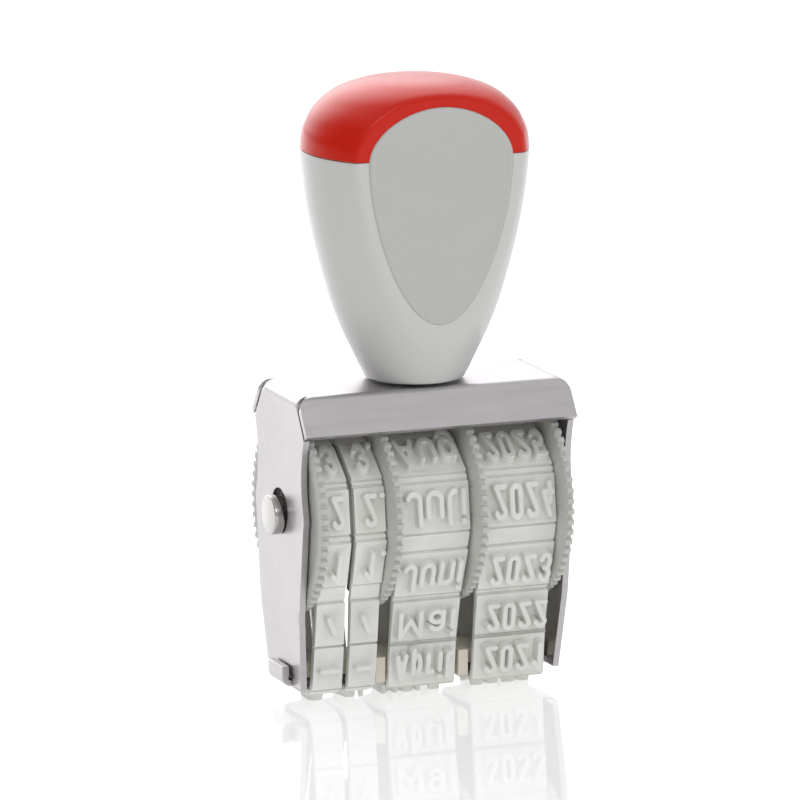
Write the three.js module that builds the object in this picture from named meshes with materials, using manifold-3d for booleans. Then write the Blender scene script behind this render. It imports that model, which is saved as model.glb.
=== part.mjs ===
// Rotary date stamp: four rubber type bands on thumb-wheels in a bent steel frame, under a round
// handle with two flats. Millimetres, +Z up, origin under the middle of the printing type.
import * as THREE from 'three';
import { mergeVertices } from 'three/addons/utils/BufferGeometryUtils.js';
import Module from 'manifold-3d';

const wasm = await Module();
wasm.setup();

// ---------- driving dimensions ----------
const GAP = 0.3; // clearance between neighbouring pieces

// bent steel frame
const SHEET = 0.8;
const BEND_R = 1.6;
const FRAME_TOP = 40.7;
const FRAME_HALF_W = 18.45;
const FRAME_FOOT_HALF_W = 17.75;
const FRAME_FOOT_Z = 2.5;
const LEAN_Z = 12.5; // below this height the cheeks lean inwards, through a wide bend
const LEAN_R = 15;
const ROOF_HALF_D = 6.7;
const EAVE_HALF_D = 9.85;
const EAVE_Z = 36.2;
const EAVE_BEND_R = 1.3;
const CHEEK_FOOT_HALF_D = 5.7;
const CHEEK_SHOULDER = { y: 8.5, z: 24.6 };
const CHEEK_WAIST = { y: 6.9, z: 30.4 }; // control point of the concave edge
const CHEEK_EAR = { y: 8.75, z: 35.6 };
const HOLE_R = 2.9;
const HOLE_Z = 24.9;
const CUT = 30; // half length of a cutter that runs right through the frame
const SCREW_HOLE_R = 1.8;

// axle and wheels
const AXLE_Z = 24.4;
const AXLE_R = 2.56;
const AXLE_HALF_L = 19.95;
const AXLE_CHAMFER = 0.25;
const GROOVE_R = 2.2;
const GROOVE_IN = 17.25;
const GROOVE_OUT = 18.85;
const BORE_R = 2.76;
const TOOTH_TIP_R = 12.9;
const TOOTH_ROOT_R = 12.25;
const TEETH = 58;
const RIM_W = 0.95;
const TOOTH = { foot: 0.08, tip: 0.22, tipEnd: 0.58, footEnd: 0.72 }; // shares of one pitch
const DRUM_R = 8.15;
const DRUM_STEPS = 32;

// rubber bands
const WEB_T = 0.7;
const BLOCK_T = 0.3;
const TYPE_T = 1.05;
const FACETS = 8; // the stiff type blocks lay the band over its drum as part of an octagon
const FACETS_USED = 5; // the rest of the octagon is where the band leaves the drum
const FACET_TILT = 8; // degrees that the front facet looks upwards
const BAND_INNER = DRUM_R + GAP; // from the axle to the inside of the band at the middle of a facet
const BAND_T = WEB_T + BLOCK_T + TYPE_T;
const KNEE = { y: -6.05, z: 13.9 };
const FOOT_CORNER_Y = 4.23;
const BLOCK_L = 5.65;
const LONG_BLOCK_L = 6.2; // the stretched blocks over the front of the drum
const TYPE_L = 3.9;
const EMBED = 0.1; // how far a raised piece reaches into what it stands on
const DRUM_CORNER_R = 1.5;
const KNEE_R = 12;
const FOOT_CORNER_R = 0.9;
const REAR_SHARES = [0.17, 0.5, 0.83]; // places of the blocks along the rear run
const UPPER_SHARE = 0.55; // the same on the facet that looks up and forward
const UPPER_FACET = 3;
const FRONT_FACET = 4;

// bridge strip and its saddle
const BRIDGE_Z = BAND_T + GAP;
const BRIDGE_T = 0.8;
const BRIDGE_HALF_D = 2.6;
const TAB_TOP = 5.0;
const TAB_T = 0.95;
const TAB_BEND_R = 1.25;
const CHEEK_LEAN = 0.1; // how much further out the cheek is at the top of the tab
const SADDLE_TOP = 5.4;
const SADDLE_HALF_D = 3.2;
const SADDLE_HALF_L = 16.8;
const RIB_HALF_D = 5.0;
const RIB_TOP = 5.7;
const RIB_W = 1.4;

// handle
const FLAT_Y = 9.2;
const HANDLE_BASE = FRAME_TOP + GAP;
const SEAM_Z = 70.6;
const WALL = 2.2;
const PANEL_T = 1.0;
const POCKET_FLOOR = 8.05;
const BOSS_R = 4.6;
const BOSS_TOP = 55;
const BOSS_BORE_TOP = 53;
const SKIRT_Z = 68.2;
const SKIRT_T = 1.2;
const CAVITY_FLOOR = 47.5;
const ROUND_STEPS = 32;

// egg-shaped panel: each curve runs from one extreme point to the next
const EGG = {
  low: 49.25, lowReach: 5.3, rise: 62.3, half: 9.75, wide: 70.3, shoulder: 73.8, topReach: 5.0, top: 77.05,
};

// screw that holds the handle
const SCREW_R = 1.5;
const HEAD_R = 2.8;
const HEAD_T = 1.8;
const HEAD_CHAMFER = 0.5;
const POINT_L = 1.0;
const POINT_R = 0.6;
const WASHER_R = 3.6;
const WASHER_T = 0.6;
const SLOT_W = 0.8;
const SLOT_DEPTH = 0.8;
const SCREW_TIP = 52;

// places of the blocks in front, as shares of the runs they stand on: the front facet (with the
// length of its block), the run down to the knee and the run below it
const DAY_BLOCKS = { facet: [0.44, BLOCK_L], upper: 0.32, lower: [0.236, 0.736] };
const LONG_BLOCKS = { facet: [0.5, LONG_BLOCK_L], upper: 0.6, lower: [0.295, 0.78] };

// the wheels from left to right: where the rim starts and the spans of drum and band along X
const WHEELS = [
  { name: 'day_tens_wheel', rim: -17.45, drum: [-16.5, -12.2], band: [-16.05, -12.3], blocks: DAY_BLOCKS },
  { name: 'day_units_wheel', rim: -7.4, drum: [-11.9, -7.4], band: [-11.6, -7.6], blocks: DAY_BLOCKS },
  { name: 'month_wheel', rim: 4.25, drum: [-6.0, 4.25], band: [-5.6, 3.8], blocks: LONG_BLOCKS },
  { name: 'year_wheel', rim: 15.95, drum: [5.65, 15.95], band: [5.75, 15.65], blocks: LONG_BLOCKS },
];
// raised type on each band: [centre, width] along X
const TYPE = {
  day_tens_band: [[-14.4, 1.9]],
  day_units_band: [[-9.9, 1.7], [-8.3, 0.6]],
  month_band: [[-4.4, 1.5], [-2.2, 1.5], [0.0, 1.4], [2.2, 1.4]],
  year_band: [[7.75, 1.6], [9.95, 1.6], [12.2, 1.6], [14.4, 1.6]],
};

// ---------- materials ----------
function material(color, roughness, metalness) {
  return new THREE.MeshStandardMaterial({ color, roughness, metalness });
}
const LOOKS = {
  red: () => material(0xd8281a, 0.3, 0),
  grey: () => material(0xd6d3cf, 0.45, 0),
  panel: () => material(0xcfcdca, 0.55, 0),
  steel: () => material(0xbdb9ba, 0.35, 1),
  chrome: () => material(0xdedede, 0.15, 1),
  wheel: () => material(0xcbc8c0, 0.5, 0),
  rubber: () => material(0xd0cfca, 0.7, 0),
  cream: () => material(0xe4dfcd, 0.5, 0),
};

// ---------- solids ----------
function solidOf(geometry) {
  geometry.deleteAttribute('normal');
  geometry.deleteAttribute('uv');
  const merged = mergeVertices(geometry, 1e-5);
  const mesh = new wasm.Mesh({
    numProp: 3,
    vertProperties: new Float32Array(merged.attributes.position.array),
    triVerts: new Uint32Array(merged.index.array),
  });
  return new wasm.Manifold(mesh);
}

function geometryOf(solid) {
  const mesh = solid.getMesh();
  const geometry = new THREE.BufferGeometry();
  geometry.setAttribute('position', new THREE.BufferAttribute(new Float32Array(mesh.vertProperties), 3));
  geometry.setIndex(new THREE.BufferAttribute(new Uint32Array(mesh.triVerts), 1));
  geometry.computeVertexNormals();
  return geometry;
}

function extruded(shape, depth, curveSegments = 12) {
  return new THREE.ExtrudeGeometry(shape, { depth, bevelEnabled: false, curveSegments });
}

// a (y, z) outline drawn out along X
function alongX(shape, x0, x1) {
  const turn = new THREE.Matrix4().makeBasis(
    new THREE.Vector3(0, 1, 0), new THREE.Vector3(0, 0, 1), new THREE.Vector3(1, 0, 0));
  return solidOf(extruded(shape, x1 - x0).applyMatrix4(turn).translate(x0, 0, 0));
}

// an (x, z) outline drawn out along Y
function alongY(shape, y0, y1) {
  const turn = new THREE.Matrix4().makeBasis(
    new THREE.Vector3(1, 0, 0), new THREE.Vector3(0, 0, 1), new THREE.Vector3(0, -1, 0));
  return solidOf(extruded(shape, y1 - y0).applyMatrix4(turn).translate(0, y1, 0));
}

function box(x0, x1, y0, y1, z0, z1) {
  const geometry = new THREE.BoxGeometry(x1 - x0, y1 - y0, z1 - z0);
  return solidOf(geometry.translate((x0 + x1) / 2, (y0 + y1) / 2, (z0 + z1) / 2));
}

// a round solid about the Z axis from [radius, z] pairs that start and end on the axis
function turned(profile, steps = ROUND_STEPS) {
  const geometry = new THREE.LatheGeometry(profile.map(([r, z]) => new THREE.Vector2(r, z)), steps);
  return solidOf(geometry.rotateX(Math.PI / 2));
}

// the same about the axle, with z in the profile measured along X
function turnedOnAxle(profile, steps = 24) {
  const geometry = new THREE.LatheGeometry(profile.map(([r, x]) => new THREE.Vector2(r, x)), steps);
  return solidOf(geometry.rotateZ(-Math.PI / 2).translate(0, 0, AXLE_Z));
}

// ---------- outlines ----------
// Points and outward normals along a path whose corners {x, y, r} are rounded; a path that runs
// anticlockwise has its outside on the right.
function roundedPath(corners, closed, steps = 5) {
  const path = [];
  const count = corners.length;
  const at = (i) => new THREE.Vector2(corners[(i + count) % count].x, corners[(i + count) % count].y);
  const right = (d) => new THREE.Vector2(d.y, -d.x);
  const heading = (i) => at(i + 1).sub(at(i)).normalize();
  if (!closed) path.push({ p: at(0), n: right(heading(0)) });
  for (let i = closed ? 0 : 1; i < (closed ? count : count - 1); i += 1) {
    const before = heading(i - 1);
    const after = heading(i);
    const turn = Math.atan2(before.cross(after), before.dot(after));
    const side = Math.sign(turn);
    const reach = corners[i].r * Math.tan(Math.abs(turn) / 2);
    const start = at(i).addScaledVector(before, -reach);
    const centre = start.clone().addScaledVector(right(before), -side * corners[i].r);
    for (let k = 0; k <= steps; k += 1) {
      const n = right(before.clone().rotateAround(new THREE.Vector2(), (turn * k) / steps));
      path.push({ p: centre.clone().addScaledVector(n, side * corners[i].r), n });
    }
  }
  if (!closed) path.push({ p: at(count - 1), n: right(heading(count - 2)) });
  return path;
}

const shifted = (path, offset) => path.map(({ p, n }) => p.clone().addScaledVector(n, offset));

// the outline of a bent strip whose outer face follows the path
function stripShape(corners, thickness) {
  const path = roundedPath(corners, false);
  return new THREE.Shape([...shifted(path, 0), ...shifted(path, -thickness).reverse()]);
}

function shapeOf(points) {
  return new THREE.Shape(points.map(([x, y]) => new THREE.Vector2(x, y)));
}

// ---------- frame ----------
function cheekOutline() {
  const slope = new THREE.Vector2(EAVE_HALF_D - ROOF_HALF_D, EAVE_Z - FRAME_TOP).normalize();
  const slit = SHEET + GAP + 0.05;
  const inset = new THREE.Vector2(slope.y, -slope.x).multiplyScalar(slit);
  const shoulderTop = FRAME_TOP - SHEET;
  const run = (FRAME_TOP + inset.y - shoulderTop) / -slope.y;
  const neck = ROOF_HALF_D + inset.x + slope.x * run;
  const outline = new THREE.Shape();
  outline.moveTo(-CHEEK_FOOT_HALF_D, 0);
  outline.lineTo(CHEEK_FOOT_HALF_D, 0);
  outline.lineTo(CHEEK_FOOT_HALF_D, FRAME_FOOT_Z);
  outline.lineTo(CHEEK_SHOULDER.y, CHEEK_SHOULDER.z);
  outline.quadraticCurveTo(CHEEK_WAIST.y, CHEEK_WAIST.z, CHEEK_EAR.y, CHEEK_EAR.z);
  outline.lineTo(neck, shoulderTop);
  outline.lineTo(neck, FRAME_TOP + 1);
  outline.lineTo(-neck, FRAME_TOP + 1);
  outline.lineTo(-neck, shoulderTop);
  outline.lineTo(-CHEEK_EAR.y, CHEEK_EAR.z);
  outline.quadraticCurveTo(-CHEEK_WAIST.y, CHEEK_WAIST.z, -CHEEK_SHOULDER.y, CHEEK_SHOULDER.z);
  outline.lineTo(-CHEEK_FOOT_HALF_D, FRAME_FOOT_Z);
  return outline;
}

function archCorners() {
  return [
    { x: FRAME_FOOT_HALF_W, y: FRAME_FOOT_Z },
    { x: FRAME_HALF_W, y: LEAN_Z, r: LEAN_R },
    { x: FRAME_HALF_W, y: FRAME_TOP, r: BEND_R },
    { x: -FRAME_HALF_W, y: FRAME_TOP, r: BEND_R },
    { x: -FRAME_HALF_W, y: LEAN_Z, r: LEAN_R },
    { x: -FRAME_FOOT_HALF_W, y: FRAME_FOOT_Z },
  ];
}

function makeFrame() {
  const reach = EAVE_HALF_D + 1;
  const arch = alongY(stripShape(archCorners(), SHEET), -reach, reach);
  const cheeks = arch.intersect(alongX(cheekOutline(), -reach * 2, reach * 2));
  const roofCorners = [
    { x: EAVE_HALF_D, y: EAVE_Z },
    { x: ROOF_HALF_D, y: FRAME_TOP, r: EAVE_BEND_R },
    { x: -ROOF_HALF_D, y: FRAME_TOP, r: EAVE_BEND_R },
    { x: -EAVE_HALF_D, y: EAVE_Z },
  ];
  const roof = alongX(stripShape(roofCorners, SHEET), -FRAME_HALF_W, FRAME_HALF_W);
  const envelope = new THREE.Shape(roundedPath(archCorners(), false).map(({ p }) => p));
  const holes = turnedOnAxle([[0, -CUT], [HOLE_R, -CUT], [HOLE_R, CUT], [0, CUT]])
    .translate([0, 0, HOLE_Z - AXLE_Z]); // the holes sit a little above the axle
  const screwHole = turned([
    [0, EAVE_Z], [SCREW_HOLE_R, EAVE_Z], [SCREW_HOLE_R, FRAME_TOP + 1], [0, FRAME_TOP + 1],
  ], 24);
  const notchHalf = BRIDGE_HALF_D + GAP;
  const notch = box(-CUT, CUT, -notchHalf, notchHalf, 0, BRIDGE_Z + BRIDGE_T + GAP);
  return cheeks.add(roof.intersect(alongY(envelope, -reach, reach)))
    .subtract(holes)
    .subtract(screwHole)
    .subtract(notch);
}

// ---------- axle and wheels ----------
function makeAxle() {
  const half = [
    [GROOVE_R, GROOVE_IN],
    [GROOVE_R, GROOVE_OUT],
    [AXLE_R, GROOVE_OUT],
    [AXLE_R, AXLE_HALF_L - AXLE_CHAMFER],
    [AXLE_R - AXLE_CHAMFER, AXLE_HALF_L],
    [0, AXLE_HALF_L],
  ];
  const mirrored = half.map(([r, x]) => [r, -x]).reverse();
  return turnedOnAxle([...mirrored, [AXLE_R, -GROOVE_IN], [AXLE_R, GROOVE_IN], ...half]);
}

function polar(radius, degrees) {
  const angle = THREE.MathUtils.degToRad(degrees);
  return [radius * Math.cos(angle), radius * Math.sin(angle)];
}

function ringOfPoints(radius, count) {
  return Array.from({ length: count }, (_, i) => polar(radius, (360 * i) / count));
}

function rimPoints() {
  const pitch = 360 / TEETH;
  const points = [];
  for (let i = 0; i < TEETH; i += 1) {
    points.push(polar(TOOTH_ROOT_R, pitch * (i + TOOTH.foot)));
    points.push(polar(TOOTH_TIP_R, pitch * (i + TOOTH.tip)));
    points.push(polar(TOOTH_TIP_R, pitch * (i + TOOTH.tipEnd)));
    points.push(polar(TOOTH_ROOT_R, pitch * (i + TOOTH.footEnd)));
  }
  return points;
}

function makeWheel({ rim, drum }) {
  const disc = alongX(shapeOf(rimPoints()), rim, rim + RIM_W);
  const hub = alongX(shapeOf(ringOfPoints(DRUM_R, DRUM_STEPS)), drum[0], drum[1]);
  const bore = turnedOnAxle([[0, -CUT], [BORE_R, -CUT], [BORE_R, CUT], [0, CUT]]);
  return disc.add(hub).translate([0, 0, AXLE_Z]).subtract(bore);
}

// ---------- bands ----------
// corners of the inside of a band: over the drum, then down both runs and round the bridge
function bandCorners() {
  const corner = BAND_INNER / Math.cos(Math.PI / FACETS);
  const over = [];
  for (let i = 0; i <= FACETS_USED; i += 1) {
    const [y, z] = polar(corner, -FACET_TILT + (360 / FACETS) * (i - 0.5));
    over.push({ x: y, y: z + AXLE_Z, r: DRUM_CORNER_R });
  }
  return [
    { x: -FOOT_CORNER_Y, y: BAND_T, r: FOOT_CORNER_R },
    { x: FOOT_CORNER_Y, y: BAND_T, r: FOOT_CORNER_R },
    ...over,
    { x: KNEE.y, y: KNEE.z, r: KNEE_R },
  ];
}

// the place of each type block: a point on the inside of the band and its outward normal
function stations({ facet, upper, lower }) {
  const list = [{ y: 0, z: BAND_T, n: new THREE.Vector2(0, -1), length: BLOCK_L }];
  const corners = bandCorners();
  const along = (from, to, share, length = BLOCK_L) => {
    const a = new THREE.Vector2(from.x, from.y);
    const b = new THREE.Vector2(to.x, to.y);
    const heading = b.clone().sub(a).normalize();
    const p = a.lerp(b, share);
    list.push({ y: p.x, z: p.y, n: new THREE.Vector2(heading.y, -heading.x), length });
  };
  for (const share of REAR_SHARES) along(corners[1], corners[2], share);
  for (let i = 0; i < FRONT_FACET; i += 1) {
    along(corners[i + 2], corners[i + 3], i === UPPER_FACET ? UPPER_SHARE : 0.5);
  }
  along(corners[FRONT_FACET + 2], corners[FRONT_FACET + 3], ...facet);
  const knee = corners.length - 1;
  along(corners[knee - 1], corners[knee], upper, LONG_BLOCK_L);
  for (const share of lower) along(corners[knee], corners[0], share);
  return list;
}

// a block of rubber that stands on the band at a station
function pad(station, x0, x1, length, base, height) {
  const across = new THREE.Vector2(-station.n.y, station.n.x).multiplyScalar(length / 2);
  const foot = new THREE.Vector2(station.y, station.z).addScaledVector(station.n, base);
  const top = foot.clone().addScaledVector(station.n, height);
  const shape = new THREE.Shape([
    foot.clone().sub(across), top.clone().sub(across),
    top.clone().add(across), foot.clone().add(across),
  ]);
  return alongX(shape, x0, x1);
}

function makeBand({ band: [x0, x1], blocks }, type) {
  const path = roundedPath(bandCorners(), true, 3);
  const loop = new THREE.Shape(shifted(path, WEB_T));
  loop.holes.push(new THREE.Path(shifted(path, 0)));
  let band = alongX(loop, x0, x1);
  for (const station of stations(blocks)) {
    band = band.add(pad(station, x0, x1, station.length, WEB_T - EMBED, BLOCK_T + EMBED));
    for (const [centre, width] of type) {
      const [from, to] = [centre - width / 2, centre + width / 2];
      band = band.add(pad(station, from, to, TYPE_L, WEB_T + BLOCK_T - EMBED, TYPE_T + EMBED));
    }
  }
  return band;
}

// ---------- bridge and saddle ----------
function makeBridge() {
  const outer = FRAME_FOOT_HALF_W + CHEEK_LEAN + GAP + TAB_T;
  const corners = [
    { x: -outer, y: TAB_TOP },
    { x: -outer, y: BRIDGE_Z, r: TAB_BEND_R },
    { x: outer, y: BRIDGE_Z, r: TAB_BEND_R },
    { x: outer, y: TAB_TOP },
  ];
  const path = roundedPath(corners, false);
  const thickness = ({ p }) => (Math.abs(p.x) > outer - 0.01 ? TAB_T : BRIDGE_T);
  const inner = path.map((point) => point.p.clone().addScaledVector(point.n, -thickness(point)));
  const strip = new THREE.Shape([...shifted(path, 0), ...inner.reverse()]);
  return alongY(strip, -BRIDGE_HALF_D, BRIDGE_HALF_D);
}

function makeSaddle() {
  const floor = BRIDGE_Z + BRIDGE_T + GAP;
  let saddle = box(
    -SADDLE_HALF_L, SADDLE_HALF_L, -SADDLE_HALF_D, SADDLE_HALF_D, floor, SADDLE_TOP);
  const between = (a, b) => (WHEELS[a].band[1] + WHEELS[b].band[0]) / 2;
  const ribs = [between(1, 2), between(2, 3)];
  for (const x of ribs) {
    for (const side of [-1, 1]) {
      const [inner, outer] = [side * (BRIDGE_HALF_D + GAP), side * RIB_HALF_D];
      const [y0, y1] = [Math.min(inner, outer), Math.max(inner, outer)];
      saddle = saddle.add(box(x - RIB_W / 2, x + RIB_W / 2, y0, y1, BRIDGE_Z, RIB_TOP));
    }
  }
  return saddle;
}

// ---------- handle ----------
// radius of the handle against height, from the rounded foot up to the crown
const FLANK = [
  [6.0, HANDLE_BASE], [6.55, 41.5], [7.95, 44.3], [9.45, 47.5], [10.7, 50.8], [11.65, 54.0], [12.5, 57.2],
  [13.25, 60.5], [13.85, 63.7], [14.3, 67.0], [14.62, SEAM_Z],
];
const CROWN = [
  [14.62, SEAM_Z], [14.38, 72.7], [13.9, 74.0], [13.2, 75.3], [12.1, 76.55], [10.4, 77.85], [8.0, 78.85],
  [5.0, 79.5], [0, 79.8],
];

// radius on a profile at a height
function radiusAt(profile, z) {
  const i = profile.findIndex((point) => point[1] >= z);
  const [r0, z0] = profile[i - 1];
  const [r1, z1] = profile[i];
  return r0 + ((r1 - r0) * (z - z0)) / (z1 - z0);
}

function eggOutline(inset) {
  const side = EGG.half - inset;
  const [low, high] = [EGG.low + inset, EGG.top - inset];
  const [lowReach, topReach] = [EGG.lowReach - inset, EGG.topReach - inset];
  const egg = new THREE.Shape();
  egg.moveTo(0, low);
  egg.bezierCurveTo(lowReach, low, side, EGG.rise, side, EGG.wide);
  egg.bezierCurveTo(side, EGG.shoulder, topReach, high, 0, high);
  egg.bezierCurveTo(-topReach, high, -side, EGG.shoulder, -side, EGG.wide);
  egg.bezierCurveTo(-side, EGG.rise, -lowReach, low, 0, low);
  return egg;
}

const slab = (half) => box(-CUT, CUT, -half, half, 0, FRAME_TOP + CUT * 2);

function pockets() {
  const front = alongY(eggOutline(-GAP), -CUT, -POCKET_FLOOR);
  return front.add(alongY(eggOutline(-GAP), POCKET_FLOOR, CUT));
}

function makeHandleBody() {
  const top = SEAM_Z - GAP / 2;
  const wallPoints = FLANK.filter(([, z]) => z > HANDLE_BASE && z < top);
  const outer = turned([
    [0, HANDLE_BASE], FLANK[0], ...wallPoints, [radiusAt(FLANK, top), top], [0, top],
  ]);
  const cavityWall = wallPoints.filter(([, z]) => z >= CAVITY_FLOOR).map(([r, z]) => [r - WALL, z]);
  const cavity = turned([
    [0, BOSS_TOP], [BOSS_R, BOSS_TOP], [BOSS_R, CAVITY_FLOOR], ...cavityWall,
    [FLANK.at(-1)[0] - WALL, SEAM_Z + 1], [0, SEAM_Z + 1],
  ]);
  const boreR = SCREW_R + GAP;
  const bore = turned([
    [0, HANDLE_BASE - 1], [boreR, HANDLE_BASE - 1], [boreR, BOSS_BORE_TOP], [0, BOSS_BORE_TOP],
  ], 24);
  return outer.intersect(slab(FLAT_Y))
    .subtract(cavity.intersect(slab(FLAT_Y - WALL)))
    .subtract(bore)
    .subtract(pockets());
}

function makeHandleCap() {
  const foot = SEAM_Z + GAP / 2;
  const rise = CROWN.filter(([, z]) => z > foot);
  const outer = turned([[0, foot], [radiusAt(CROWN, foot), foot], ...rise]);
  const vault = rise.map(([r, z]) => [Math.max(r - WALL, 0), z - WALL]);
  const inner = turned([[0, foot - 1], [CROWN[0][0] - WALL, foot - 1], ...vault]);
  const skirtR = FLANK.at(-2)[0] - WALL - GAP;
  const ring = (inset) => turned([
    [0, SKIRT_Z], [skirtR - inset, SKIRT_Z], [skirtR - inset, foot + 1], [0, foot + 1],
  ]).intersect(slab(FLAT_Y - WALL - GAP - inset));
  return outer.intersect(slab(FLAT_Y))
    .subtract(inner.intersect(slab(FLAT_Y - WALL)))
    .subtract(pockets())
    .add(ring(0))
    .subtract(ring(SKIRT_T));
}

function makePanel(side) {
  const inner = POCKET_FLOOR + GAP;
  const [y0, y1] = side < 0 ? [-inner - PANEL_T, -inner] : [inner, inner + PANEL_T];
  return alongY(eggOutline(0), y0, y1);
}

// ---------- screw and washer ----------
const WASHER_TOP = FRAME_TOP - SHEET - GAP;
const HEAD_TOP = WASHER_TOP - WASHER_T - GAP;

function makeScrew() {
  const low = HEAD_TOP - HEAD_T;
  const body = turned([
    [0, low], [HEAD_R - HEAD_CHAMFER, low], [HEAD_R, low + HEAD_CHAMFER], [HEAD_R, HEAD_TOP],
    [SCREW_R, HEAD_TOP], [SCREW_R, SCREW_TIP - POINT_L], [POINT_R, SCREW_TIP], [0, SCREW_TIP],
  ], 24);
  const slot = box(-HEAD_R - 1, HEAD_R + 1, -SLOT_W / 2, SLOT_W / 2, low - 1, low + SLOT_DEPTH);
  return body.subtract(slot);
}

function makeWasher() {
  const low = WASHER_TOP - WASHER_T;
  const disc = turned([[0, low], [WASHER_R, low], [WASHER_R, WASHER_TOP], [0, WASHER_TOP]], 24);
  const hole = turned([
    [0, low - 1], [SCREW_HOLE_R, low - 1], [SCREW_HOLE_R, WASHER_TOP + 1], [0, WASHER_TOP + 1],
  ], 24);
  return disc.subtract(hole);
}

// ---------- assembly ----------
const stamp = new THREE.Group();

function place(name, solid, look) {
  const mesh = new THREE.Mesh(geometryOf(solid), look());
  mesh.name = name;
  stamp.add(mesh);
}

place('frame', makeFrame(), LOOKS.steel);
place('handle_body', makeHandleBody(), LOOKS.grey);
place('handle_cap', makeHandleCap(), LOOKS.red);
place('front_panel', makePanel(-1), LOOKS.panel);
place('rear_panel', makePanel(1), LOOKS.panel);
place('handle_screw', makeScrew(), LOOKS.chrome);
place('handle_washer', makeWasher(), LOOKS.chrome);
place('axle', makeAxle(), LOOKS.chrome);
place('bridge', makeBridge(), LOOKS.steel);
place('band_saddle', makeSaddle(), LOOKS.cream);
for (const wheel of WHEELS) {
  const bandName = wheel.name.replace('wheel', 'band');
  place(wheel.name, makeWheel(wheel), LOOKS.wheel);
  place(bandName, makeBand(wheel, TYPE[bandName]), LOOKS.rubber);
}

export default stamp;
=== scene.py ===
import math

import bmesh
import bpy
from mathutils import Matrix, Vector


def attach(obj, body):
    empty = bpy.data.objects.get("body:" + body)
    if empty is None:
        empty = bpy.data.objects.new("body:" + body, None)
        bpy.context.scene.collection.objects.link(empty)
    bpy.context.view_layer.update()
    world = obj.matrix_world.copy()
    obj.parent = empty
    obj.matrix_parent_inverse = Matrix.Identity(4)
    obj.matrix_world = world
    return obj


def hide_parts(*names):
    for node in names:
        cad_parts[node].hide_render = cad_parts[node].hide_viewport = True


# Rotary date stamp: the looks of every piece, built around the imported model. Lengths are in
# millimetres here and turned to metres when a mesh is made. X runs along the axle, -Y is the front.
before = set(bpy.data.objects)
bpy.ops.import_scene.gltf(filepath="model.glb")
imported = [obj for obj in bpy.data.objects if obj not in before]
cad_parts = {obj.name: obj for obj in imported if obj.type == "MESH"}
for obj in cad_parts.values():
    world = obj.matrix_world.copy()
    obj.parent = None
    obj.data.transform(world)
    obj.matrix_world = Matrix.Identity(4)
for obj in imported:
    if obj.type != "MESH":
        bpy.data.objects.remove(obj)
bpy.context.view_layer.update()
MM = 0.001
BODY = "stamp"

# ---------- sizes shared with the model (mm) ----------
SHEET = 0.8
ROOF_TOP = 40.7
HALF_W = 18.45
FOOT_HALF_W = 17.75
FOOT_Z = 2.5
LEAN = {"z": 12.5, "r": 15.0}
BEND_R = 1.6
ROOF_HALF_D = 6.7
EAVE = {"y": 9.85, "z": 36.2, "r": 1.3}
# half depths of the cheeks from the foot up, and the heights where the stretches between them end
CHEEK = {"foot": 5.7, "belly": 8.45, "bulge": 0.22, "waist": 6.95, "shoulder": 8.75, "neck": 5.86}
CHEEK_Z = {"belly": (24.1, 26.0), "shoulder": 35.6, "neck": 39.9}
AXLE_Z = 24.4
AXLE_R = 2.56
AXLE_NECK_R = 2.3
AXLE_END = 19.95
HOLE = {"r": 2.9, "z": 24.9}
FOOT_NOTCH = {"half": 2.85, "top": 3.4}
SCREW_HOLE_R = 1.8
TOOTH_TIP_R = 12.895
TOOTH_ROOT_R = 12.25
TEETH = 58
RIM_W = 0.95
DRUM_R = 8.15
BORE_R = 2.76
RECESS = {"inner": 3.9, "outer": 10.9, "depth": 0.12, "slope": 0.2}
WEB_T = 0.7
BLOCK_T = 0.3
TYPE_T = 1.05
BAND_T = WEB_T + BLOCK_T + TYPE_T
BAND_INNER = 8.45
FACETS = 8
FACETS_USED = 5
FACET_TILT = 8
KNEE = (-6.05, 13.9)
FOOT_CORNER_Y = 4.23
BLOCK_L = 5.65
LONG_BLOCK_L = 6.2
UPPER_FACET = 3
UPPER_SHARE = 0.55
FRONT_FACET = 4
BRIDGE = {"half_w": 19.1, "bottom": 2.35, "top": 5.0, "bend_r": 1.25, "half_d": 2.6}
EAR_T = 0.95
SADDLE = {"half_w": 16.8, "half_d": 3.2, "bottom": 3.45, "top": 5.4}
RIB = {"places": (-6.6, 4.775), "half_w": 0.7, "inner": 2.9, "outer": 5.0, "top": 5.7}
FLAT_Y = 9.2
HANDLE_BASE = 41.0
SEAM_Z = 70.6
SEAM_R = 14.6
SEAM_GAP = 0.07
SKIRT_R = 12.2
CORE = {"r": 4.6, "top": 55.0, "bore_top": 53.0}
CAVITY_Z = 47.5
PANEL = {"low": 49.25, "high": 77.05, "half_w": 9.75, "widest_z": 70.3}
PANEL_FACE_Y = 9.33
POCKET_FLOOR_Y = 8.3
WALL = 2.2

# where the blocks in front stand, as shares of their runs, and the length of the front facet's block
DAY_BLOCKS = {"facet": 0.44, "length": BLOCK_L, "upper": 0.32, "lower": [0.236, 0.736]}
LONG_BLOCKS = {"facet": 0.5, "length": LONG_BLOCK_L, "upper": 0.6, "lower": [0.295, 0.78]}
# along X: where the rim starts, the drum and the band; the last pair is how far the left and right
# edges of the band lie to the right at its foot
WHEELS = {
    "day_tens": {"rim": -17.45, "drum": (-16.5, -12.2), "band": (-16.05, -12.5),
                 "blocks": DAY_BLOCKS, "sway": (0.0, 0.45)},
    "day_units": {"rim": -7.4, "drum": (-11.9, -7.4), "band": (-11.8, -7.7),
                  "blocks": DAY_BLOCKS, "sway": (0.6, 0.2)},
    "month": {"rim": 4.25, "drum": (-6.0, 4.25), "band": (-5.6, 3.8),
              "blocks": LONG_BLOCKS, "sway": (0.0, -0.35)},
    "year": {"rim": 15.95, "drum": (5.65, 15.95), "band": (5.75, 15.65),
             "blocks": LONG_BLOCKS, "sway": (0.25, 0.15)},
}
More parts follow.
